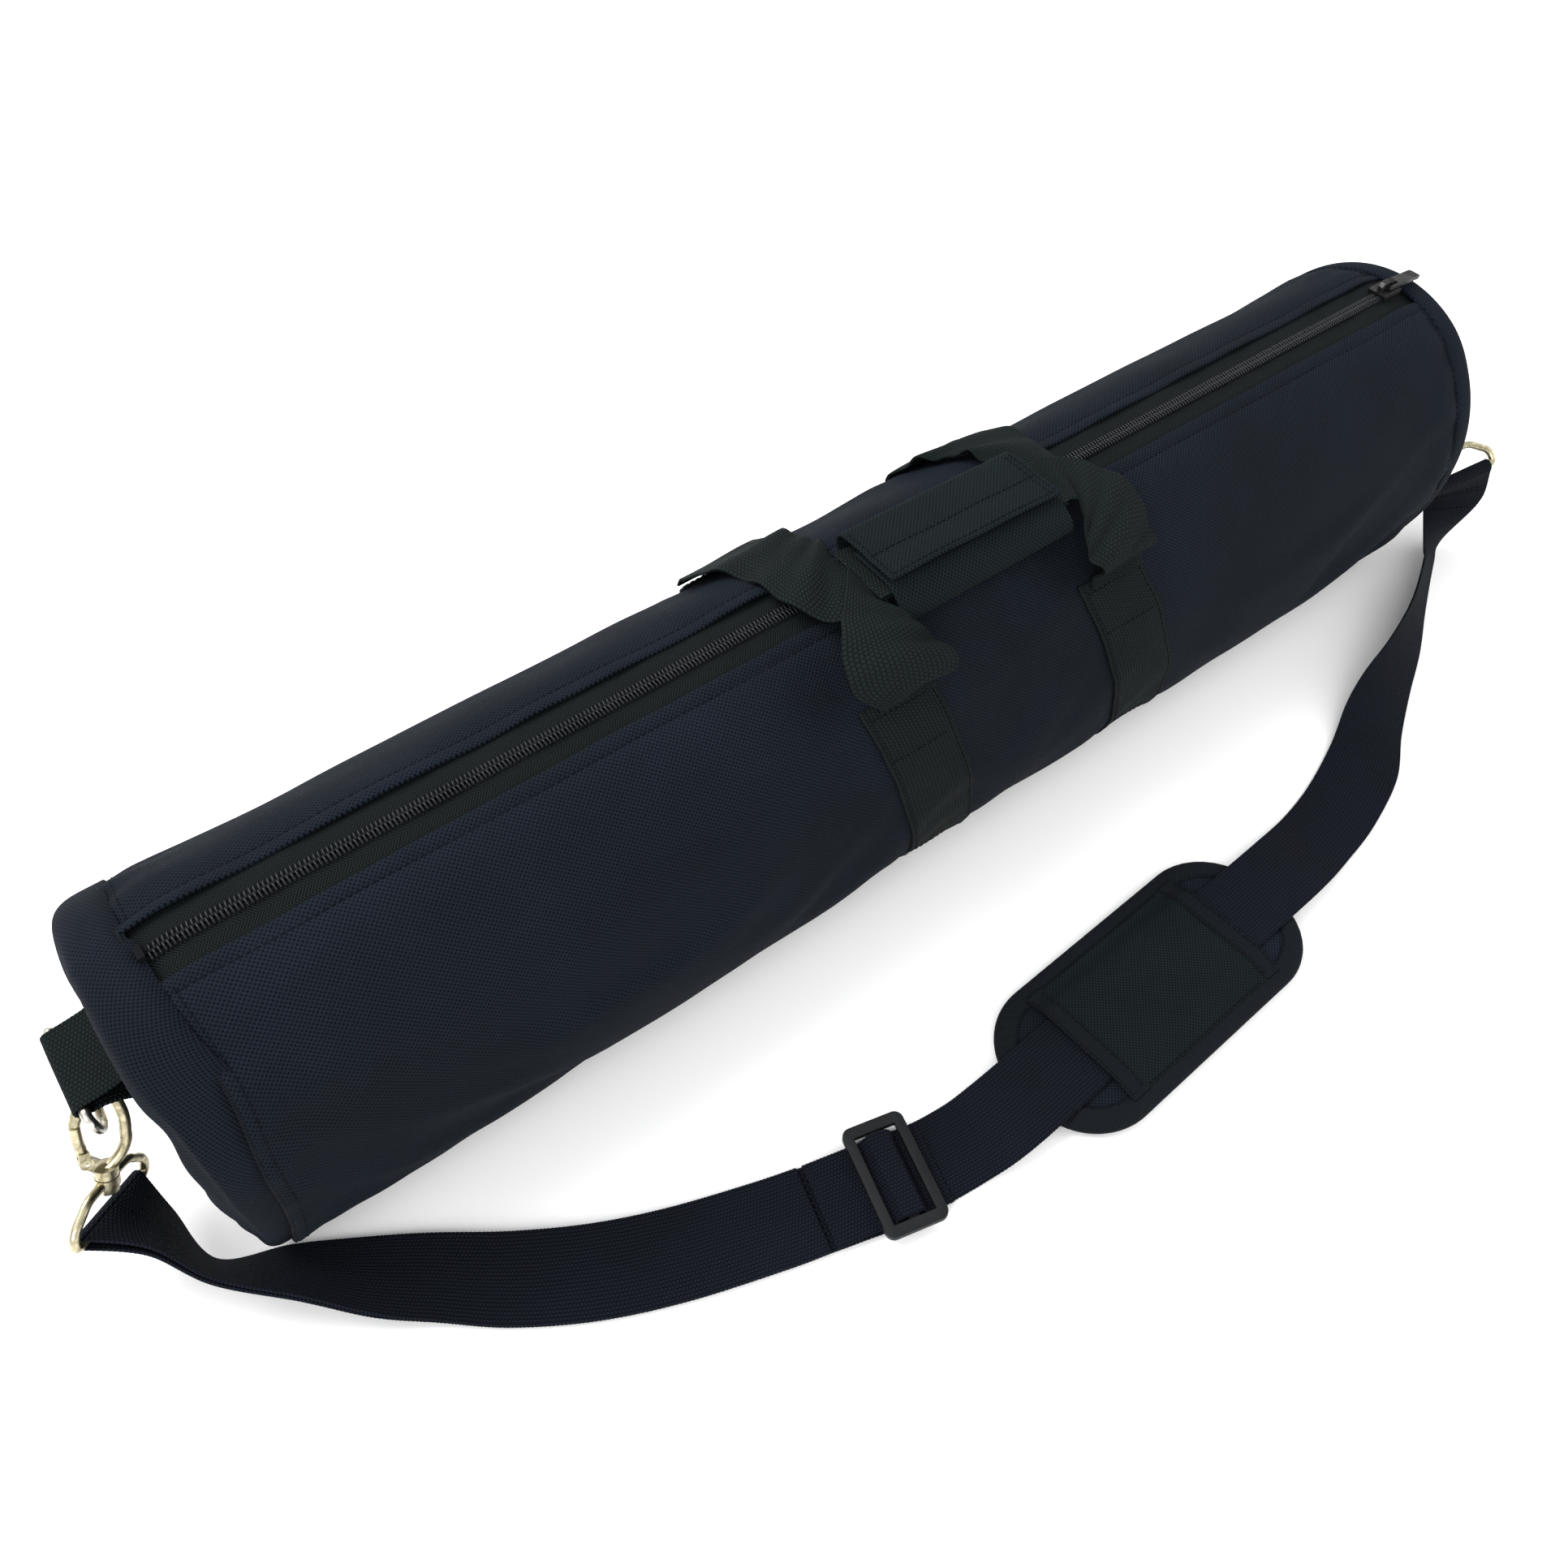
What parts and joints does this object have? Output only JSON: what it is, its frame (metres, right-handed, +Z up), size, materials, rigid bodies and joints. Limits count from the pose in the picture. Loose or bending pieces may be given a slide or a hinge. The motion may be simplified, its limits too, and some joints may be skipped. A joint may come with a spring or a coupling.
{
  "type": "soft carry tube",
  "caption": "Long padded soft tube with a straight zip along the top, two webbing handles joined by a wrap grip, and a clip-on shoulder strap with a pad and a sliding buckle.",
  "frame": {"origin": "on the ground under the middle of the bag, halfway along its length and across its flat base", "axes": "+X along the bag towards the end where the closed zip's slider stands, +Y from the strap's side across the bag, +Z up"},
  "size_m": [0.8099, 0.2915, 0.187],
  "materials": {
    "shell_fabric": "coarse woven nylon with a coated back, matt",
    "padding_foam": "closed-cell foam",
    "lining_fabric": "thin plain-woven nylon",
    "handle_webbing": "ribbed flat webbing",
    "zip_tape": "herringbone tape",
    "zip_coil": "moulded nylon coil, satin",
    "dark_metal": "black enamel over cast metal",
    "strap_webbing": "ribbed flat webbing",
    "buckle_plastic": "moulded plastic, fine texture",
    "pad_fabric": "coarse woven nylon",
    "pad_trim": "binding tape",
    "grip_fabric": "coarse woven nylon",
    "touch_loop": "looped pile",
    "touch_hook": "hooked pile",
    "nickel": "bright nickel plate",
    "antique_brass": "antique brass plate, worn"
  },
  "bodies": {
    "bag": {"front_panel": "shell_fabric", "back_panel": "shell_fabric", "left_end_panel": "shell_fabric", "right_end_panel": "shell_fabric", "front_padding": "padding_foam", "back_padding": "padding_foam", "left_end_padding": "padding_foam", "right_end_padding": "padding_foam", "front_lining": "lining_fabric", "back_lining": "lining_fabric", "left_end_lining": "lining_fabric", "right_end_lining": "lining_fabric", "handle_band_left": "handle_webbing", "handle_band_right": "handle_webbing", "handle_leg_front_left": "handle_webbing", "handle_leg_front_right": "handle_webbing", "handle_leg_back_left": "handle_webbing", "handle_leg_back_right": "handle_webbing", "zip_tape_front": "zip_tape", "zip_tape_back": "zip_tape", "zip_coil_front": "zip_coil", "zip_coil_back": "zip_coil", "zip_start_stop": "dark_metal", "zip_end_stop": "dark_metal", "strap_lower_layer": "strap_webbing", "strap_upper_layer": "strap_webbing", "strap_long_run": "strap_webbing", "strap_sewn_end": "strap_webbing", "strap_left_bend": "strap_webbing", "strap_right_bend": "strap_webbing", "left_tab": "handle_webbing", "right_tab": "handle_webbing"},
    "slider": {"zip_slider_body": "dark_metal"},
    "pull": {"zip_pull": "dark_metal"},
    "grip": {"grip_wrap": "grip_fabric", "grip_loop_strip": "touch_loop", "grip_hook_strip": "touch_hook", "handle_run_front": "handle_webbing", "handle_run_back": "handle_webbing"},
    "buckle": {"strap_buckle": "buckle_plastic", "strap_buckle_turn": "strap_webbing"},
    "pad": {"pad_bottom_cover": "pad_fabric", "pad_foam": "padding_foam", "pad_top_cover": "pad_fabric", "pad_binding": "pad_trim", "pad_pocket_panel": "pad_fabric", "pad_band_left": "pad_trim", "pad_band_right": "pad_trim"},
    "left_ring": {"left_ring": "nickel"},
    "left_bail": {"left_bail": "antique_brass"},
    "left_hook": {"left_hook": "antique_brass", "left_gate_pin": "nickel"},
    "left_gate": {"left_gate": "antique_brass"},
    "right_ring": {"right_ring": "nickel"},
    "right_bail": {"right_bail": "antique_brass"},
    "right_hook": {"right_hook": "antique_brass", "right_gate_pin": "nickel"},
    "right_gate": {"right_gate": "antique_brass"}
  },
  "joints": [
    {"name": "zip_slide", "type": "slide", "parent": "bag", "child": "slider", "axis": [1, 0, 0], "range_m": [-0.64, 0]},
    {"name": "zip_pull_swing", "type": "hinge", "parent": "slider", "child": "pull", "pos_m": [0.32, -0.0065, 0.1652], "axis": [0, -1, 0], "range_deg": [0, 150]},
    {"name": "handle_lift", "type": "slide", "parent": "bag", "child": "grip", "axis": [0, 0, 1], "range_m": [0, 0.05], "deforming": ["handle_leg_front_left", "handle_leg_front_right", "handle_leg_back_left", "handle_leg_back_right"]},
    {"name": "left_ring_swing", "type": "hinge", "parent": "bag", "child": "left_ring", "pos_m": [-0.375, 0.008, 0.103], "axis": [0, 1, 0], "range_deg": [-2, 3]},
    {"name": "left_bail_tilt", "type": "hinge", "parent": "bag", "child": "left_bail", "pos_m": [-0.39296, -0.00793, 0.03181], "axis": [0.6636, 0.6105, -0.4324], "range_deg": [-1.5, 1.5]},
    {"name": "left_hook_swivel", "type": "hinge", "parent": "left_bail", "child": "left_hook", "pos_m": [-0.39296, -0.00793, 0.03181], "axis": [0.3488, 0.2589, 0.9008], "range_deg": [-8, 8]},
    {"name": "left_gate_open", "type": "hinge", "parent": "left_hook", "child": "left_gate", "pos_m": [-0.38918, -0.00055, 0.05987], "axis": [-0.0935, 0.9659, -0.2414], "range_deg": [0, 22], "stiffness_Nm_per_rad": 0.03, "springref_deg": -20.05},
    {"name": "right_ring_swing", "type": "hinge", "parent": "bag", "child": "right_ring", "pos_m": [0.379, -0.008, 0.103], "axis": [0, 1, 0], "range_deg": [-3, 3]},
    {"name": "right_bail_tilt", "type": "hinge", "parent": "bag", "child": "right_bail", "pos_m": [0.37692, -0.06223, 0.0504], "axis": [0.899, -0.3156, 0.3037], "range_deg": [-1.5, 1.5]},
    {"name": "right_hook_swivel", "type": "hinge", "parent": "right_bail", "child": "right_hook", "pos_m": [0.37692, -0.06223, 0.0504], "axis": [0.0403, 0.75, 0.6602], "range_deg": [-8, 8]},
    {"name": "right_gate_open", "type": "hinge", "parent": "right_hook", "child": "right_gate", "pos_m": [0.38467, -0.04104, 0.06903], "axis": [0.0026, -0.6608, 0.7505], "range_deg": [0, 22], "stiffness_Nm_per_rad": 0.03, "springref_deg": -20.05},
    {"name": "buckle_slide", "type": "slide", "parent": "bag", "child": "buckle", "axis": [0.9682, -0.2501, 0], "range_m": [-0.01, 0.01]},
    {"name": "pad_slide", "type": "slide", "parent": "bag", "child": "pad", "axis": [0.9982, 0.06, 0], "range_m": [-0.01, 0.01]}
  ]
}
